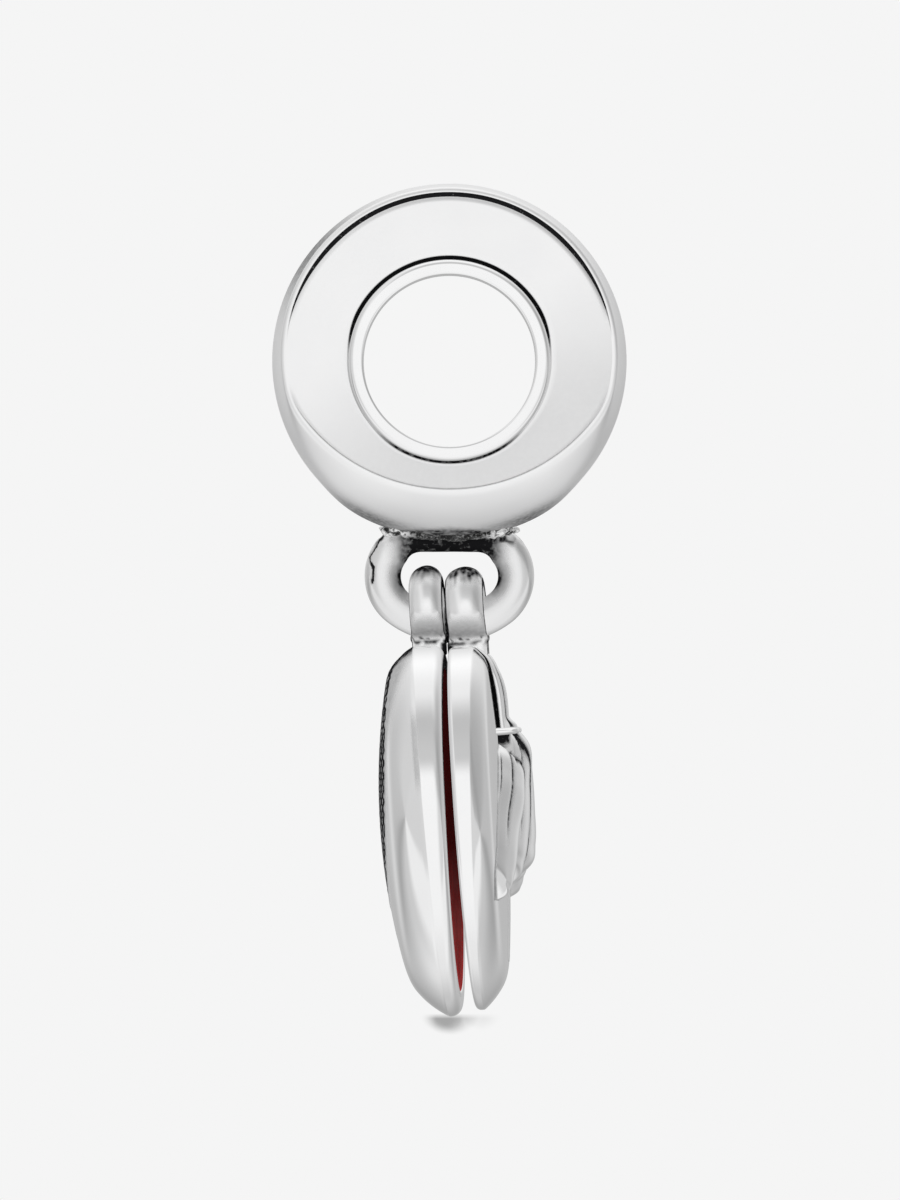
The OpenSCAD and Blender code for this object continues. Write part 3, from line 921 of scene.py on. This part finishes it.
def enamel(pendant):
    """Thin slab of enamel with a low meniscus at its edge."""
    edge, rim, back = pendant.d / 2 - LAND_W - ENAMEL_GAP, ENAMEL_RIM, ENAMEL_BACK_Z
    profile = [(edge * t, ENAMEL_FACE_Z + 0.02 * (1 - t ** 6)) for t in np.linspace(0.02, 0.97, 30)]
    profile += [(edge - rim + rim * math.cos(a), ENAMEL_FACE_Z + rim + rim * math.sin(a))
                for a in np.linspace(-math.pi / 2, 0, 8)[1:]]
    profile += [(edge, back - 0.02), (edge - 0.02, back), (edge * 0.5, back), (edge * 0.02, back)]
    profile = np.array(profile)
    angle = np.linspace(0, FULL, 256, endpoint=False)
    points = np.stack([profile[:, 0:1] * np.cos(angle), profile[:, 0:1] * np.sin(angle),
                       np.repeat(profile[:, 1:2], len(angle), axis=1)], axis=-1)
    return grid_piece(f"{pendant.name}_enamel_glass", hang_flat(points, pendant), pendant.name,
                      f"{pendant.name}_enamel", ENAMEL)


# Relief


def petal_height(share, place, kind):
    """Height of a petal: a low roof between two edges, higher in the middle."""
    roof = kind.corner + (1 - kind.corner) * (1 - np.clip(np.abs(place) / ROOF_EDGE, 0, 1) ** 1.8)
    return PETAL_FLOOR + (curve(share, kind.top) - PETAL_FLOOR) * roof


def crevice(x, y, z, own):
    """Dark where a petal's surface meets the ones beside it."""
    dark = np.zeros(x.shape)
    for i in PETAL_PLACES:
        if i == own:
            continue
        turn, kind = PETAL_STEP * i, PETALS[abs(i)]
        out = CALYX_X - x
        along = out * math.cos(turn) - y * math.sin(turn)
        across = np.abs(-out * math.sin(turn) - y * math.cos(turn))
        share = along / kind.reach
        place = across / curve(share, kind.width)
        inside = (share > kind.start) * (share < 1) * (place < 1)
        dark = np.maximum(dark, inside * bell(z, petal_height(share, place, kind), 0.05))
    return dark


def petal(i, pendant):
    """Petal from the calyx to its blunt tip, its steep sides meeting a low roof at soft edges."""
    turn, kind = PETAL_STEP * i, PETALS[abs(i)]
    corner, tip = kind.corner, 1 - TIP_START
    share = np.concatenate([np.linspace(kind.start, TIP_START, 56, endpoint=False),
                            1 - tip * (1 - np.sin(np.linspace(0, math.pi / 2, 24)))])[:, None]
    roof = np.linspace(-ROOF_EDGE, ROOF_EDGE, 60)
    wall = ((0.955, corner - 0.012), (0.975, corner - 0.035), (0.99, corner - 0.08),
            (1, corner - 0.2), (1, corner / 3), (0.98, 0))
    place = np.concatenate([[-p for p, _ in reversed(wall)], roof, [p for p, _ in wall]])
    walls = np.concatenate([[h for _, h in reversed(wall)], 0 * roof, [h for _, h in wall]])
    on_roof = np.abs(place) < wall[0][0]
    below = PETAL_FLOOR + (curve(share, kind.top) - PETAL_FLOOR) * walls
    z = np.where(on_roof, petal_height(share, place, kind), below)
    along, across = kind.reach * share, curve(share, kind.width) * place
    x = CALYX_X - along * math.cos(turn) + across * math.sin(turn)
    y = -along * math.sin(turn) - across * math.cos(turn)
    middle = ramp(share, 0.12, 0.25) * (1 - ramp(share, 0.6, 0.8)) * on_roof
    vein = middle * bell(np.abs(place), 0.62, 0.05)
    near_disc = 1 - ramp(z - dome_height(x, y, pendant), 0.0, 0.05)
    hollow = (1 - ramp(along, 0.65, 0.85)) * (1 - ramp(z, 1.42, 1.52)) * (abs(i) < 2)
    fold = bell(np.abs(place), 0.95, 0.02) * ramp(share, 0.24, 0.3) * (1 - ramp(share, 0.46, 0.54))
    # Painted shade in the sunk vein, where the petal meets the disc and the petals beside it, in the
    # hollow below the calyx and along the roof's fold.
    tarnish_and_shade = np.maximum.reduce([0.85 * vein, 0.6 * near_disc, hollow, 0.95 * fold,
                                 crevice(x, y, z, i)])
    points = np.stack([x, y, z - 0.03 * vein], axis=-1)
    return grid_piece(f"petal_{i + 3}", hang_flat(points, pendant), "front", "front_pendant", SILVER,
                      tarnish_and_shade=tarnish_and_shade)


def tail(pendant):
    """Flat tapering strip below the petals, with a painted shadow on its edges and underside."""
    alpha = np.linspace(0, FULL, 48, endpoint=False)
    share = np.sin(np.linspace(0, math.pi / 2, 60))[:, None]
    half_w = TAIL_W / 2 * np.sqrt(np.clip(1 - share ** 8, 0.0004, 1))
    x = -TAIL_REACH * share + 0 * alpha
    y = half_w * signed_power(np.cos(alpha), 0.5)
    lift = signed_power(np.sin(alpha), 0.5)
    rib = 0.015 * bell(y, 0, 0.12) * (lift > 0)
    z = dome_height(x, y, pendant) + (np.where(lift > 0, TAIL_T, TAIL_DEPTH) + rib) * lift
    return grid_piece("tail", hang_flat(np.stack([x, y, z], axis=-1), pendant), "front",
                      "front_pendant", SILVER, tarnish_and_shade=1 - ramp(lift, 0.0, 0.35) + 0 * x)


def stem_outline():
    """Cross-section of the stem as rows of (y, height, painted shade): a ribbed top on two narrow sides in
    painted shadow.
    """
    half_w, neck = STEM_HALF_W, STEM_NECK
    y = np.linspace(-half_w + 0.05, half_w - 0.05, 60)
    z = (0.25 + 0.06 * bell(y, 0, 0.2, 4) - 0.05 * bell(np.abs(y), 0.36, 0.07)
         - 0.04 * (y / half_w) ** 4)
    right = [(half_w, 0.18, 0.0), (half_w, 0.13, 0.2), (half_w - 0.03, 0.1, 1.0), (neck, 0.07, 1.0),
             (neck - 0.02, -0.1, 1.0)]
    left = [(-y, z, dark) for y, z, dark in reversed(right)]
    return np.array(left + list(zip(y, z, np.zeros(len(y)))) + right)


def stem(pendant):
    """Raised strip with three ribs between bail and calyx, its edges free above the dome."""
    start, end = CALYX_X - 0.1, pendant.d / 2 - 0.06
    across, height, dark = stem_outline().T
    x = np.linspace(start, end, 60)[:, None]
    y = across * (1 - 0.35 * ramp(x, 3.9, end))
    lift = height * curve(x, ((start, 1.0), (3.9, 0.96), (4.3, 0.6), (end, 0.3)))
    knob = 0.2 * (1 - ramp(x, CALYX_X, CALYX_X + 0.3)) * bell(y, 0, 0.55) * (height > 0.15)
    z = back_height(x, y, pendant) + lift + knob
    # Painted shadow on the narrow sides; the grooves between the ribs are darker too.
    grooves = bell(np.abs(y), 0.3, 0.08) * (dark == 0)
    points = np.stack([x + 0 * y, y, z], axis=-1)
    return grid_piece("stem", hang_flat(points, pendant), "front", "front_pendant", SILVER,
                      tarnish_and_shade=np.maximum(dark + 0 * y, grooves))


def calyx(pendant):
    """Thin bar across the top of the petals, with a scalloped outer edge."""
    y = CALYX_HALF_W * np.sin(np.linspace(-1, 1, 120) * math.pi / 2)[:, None]
    share = y / CALYX_HALF_W
    shrink = np.sqrt(np.maximum(1 - np.abs(y / (CALYX_HALF_W + 0.002)) ** 8, 0))
    top = CALYX_TOP - 0.05 * np.abs(np.sin(2.5 * math.pi * share)) - 0.1 * share ** 4
    alpha = np.linspace(0, FULL, 48, endpoint=False)
    x = CALYX_X - 0.1 + CALYX_HALF_T * shrink * signed_power(np.cos(alpha), 0.6)
    tall = (top - CALYX_LOW) / 2 * (0.9 + 0.1 * shrink)
    z = (top + CALYX_LOW) / 2 + tall * signed_power(np.sin(alpha), 0.35)
    points = np.stack([x, y + 0 * x, z], axis=-1)
    return grid_piece("calyx", hang_flat(points, pendant), "front", "front_pendant", SILVER)


# Stage


def light_profile(n, turn, stops):
    """Light at a height angle, given as a share of a full turn, from a table of (degrees, light)."""
    node = n.add("ShaderNodeValToRGB", {"Fac": turn})
    node.color_ramp.interpolation = "EASE"
    band = node.color_ramp.elements
    while len(band) < len(stops):
        band.new(0.5)
    for element, (degrees, light) in zip(band, stops):
        element.position = (degrees + 180) / 360
        element.color = grey(light)
    return node.outputs["Color"]


def studio_world():
    """Plain pale backdrop for the camera, even light for matt things, studio cards for reflections."""
    world = bpy.data.worlds.new("studio")
    bpy.context.scene.world = world
    n = Nodes(world)
    n.tree.nodes.clear()
    coords = n.add("ShaderNodeTexCoord").outputs["Generated"]
    x, y, z = n.add("ShaderNodeSeparateXYZ", {0: coords}).outputs
    angle = n.math("ARCTAN2", z, n.math("MULTIPLY", y, -1.0))
    turn = n.math("ADD", n.math("DIVIDE", angle, FULL), 0.5)
    aside, leftward = n.math("ABSOLUTE", x), n.math("MULTIPLY", x, -1.0)

    light = n.mix_colour(n.step(aside, 0.2, 0.65), light_profile(n, turn, LIGHT_MIDDLE),
                         light_profile(n, turn, LIGHT_SIDES))
    light = n.mix_colour(n.step(leftward, 0.2, 0.65), light, light_profile(n, turn, LIGHT_LEFT))
    not_behind = n.math("SUBTRACT", 1.0, n.step(turn, 0.36, 0.42))
    below = n.math("MULTIPLY", n.step(turn, 0.18, 0.25), not_behind)
    shaded = n.math("SUBTRACT", 1.0, n.math("MULTIPLY", below, 0.85))
    edge = n.math("MULTIPLY", n.step(aside, 0.45, 0.85), shaded)
    light = n.mix_colour(edge, light, grey(SIDE_LIGHT), "MULTIPLY")

    rays = n.add("ShaderNodeLightPath").outputs
    light = n.mix_colour(rays["Is Glossy Ray"], grey(MATT_LIGHT), light)
    light = n.mix_colour(rays["Is Camera Ray"], light, grey(BACKGROUND))
    shader = n.add("ShaderNodeBackground", {"Color": light})
    n.add("ShaderNodeOutputWorld", {"Surface": shader.outputs[0]})


def floor_material():
    """Shines in the backdrop's tone, with a painted shadow only where the pendants are close above."""
    material = bpy.data.materials.new("pale_floor")
    n = Nodes(material)
    open_share = n.add("ShaderNodeAmbientOcclusion", {"Distance": SHADOW_REACH * MM},
                       samples=16).outputs["AO"]
    dark = n.math("POWER", n.span(open_share, 0.5, 1.0, 1.0, 0.0), 1.7)
    x, y, _ = n.add("ShaderNodeSeparateXYZ", {"Vector": n.place}).outputs
    aside = n.math("ABSOLUTE", n.math("SUBTRACT", x, SHADOW_X * MM))
    dark = n.math("MULTIPLY", dark, n.span(aside, 0.2 * MM, 1.7 * MM, 1, 0))
    dark = n.math("MULTIPLY", dark, n.span(y, 0.9 * MM, 1.4 * MM, 1, 0))
    tone = n.math("MULTIPLY", BACKGROUND, n.span(dark, 0, 1, 1.0, SHADOW_TONE))
    n.show(n.add("ShaderNodeEmission", {"Color": tone}).outputs[0])
    return material


def floor():
    """Level floor with a low ridge under the pendants.

    The ridge slopes up towards the back, so that a level camera sees their shadow. It stays below
    them, so it hides nothing from behind.
    """
    level = FLOOR_Z + RIDGE_FRONT * FLOOR_RISE
    crest = FLOOR_Z + RIDGE_CREST * FLOOR_RISE
    profile = ((-FLOOR_SIZE, level), (RIDGE_FRONT, level), (RIDGE_CREST, crest), (RIDGE_BACK, level),
               (FLOOR_SIZE, level))
    verts = np.array([(x, y, z) for y, z in profile for x in (-FLOOR_SIZE, FLOOR_SIZE)])
    faces = [(i, i + 1, i + 3, i + 2) for i in range(0, len(verts) - 2, 2)]
    mesh = bpy.data.meshes.new("floor")
    mesh.from_pydata((verts * MM).tolist(), [], faces)
    mesh.materials.append(floor_material())
    plane = bpy.data.objects.new("floor", mesh)
    bpy.context.scene.collection.objects.link(plane)
    plane.visible_glossy = False


def camera():
    """Level camera far in front of the charm."""
    data = bpy.data.cameras.new("camera")
    data.sensor_width = SENSOR_W
    data.lens = SENSOR_W * VIEW_DISTANCE / VIEW_HEIGHT
    data.clip_start = 0.01
    data.clip_end = 20.0
    eye = bpy.data.objects.new("camera", data)
    eye.location = Vector((VIEW_X, -VIEW_DISTANCE, VIEW_Z)) * MM
    eye.rotation_euler = (math.pi / 2, 0, 0)
    bpy.context.scene.collection.objects.link(eye)
    bpy.context.scene.camera = eye


camera()
bead_body()
bead_core()
soldered_ring()
solder_seam()
for pendant in PENDANTS.values():
    disc(pendant)
    bail(pendant)
    enamel(pendant)
stem(PENDANTS["front"])
calyx(PENDANTS["front"])
tail(PENDANTS["front"])
for i in PETAL_PLACES:
    petal(i, PENDANTS["front"])
studio_world()
floor()

scene = bpy.context.scene
scene.view_settings.view_transform = "Standard"
scene.view_settings.look = "None"
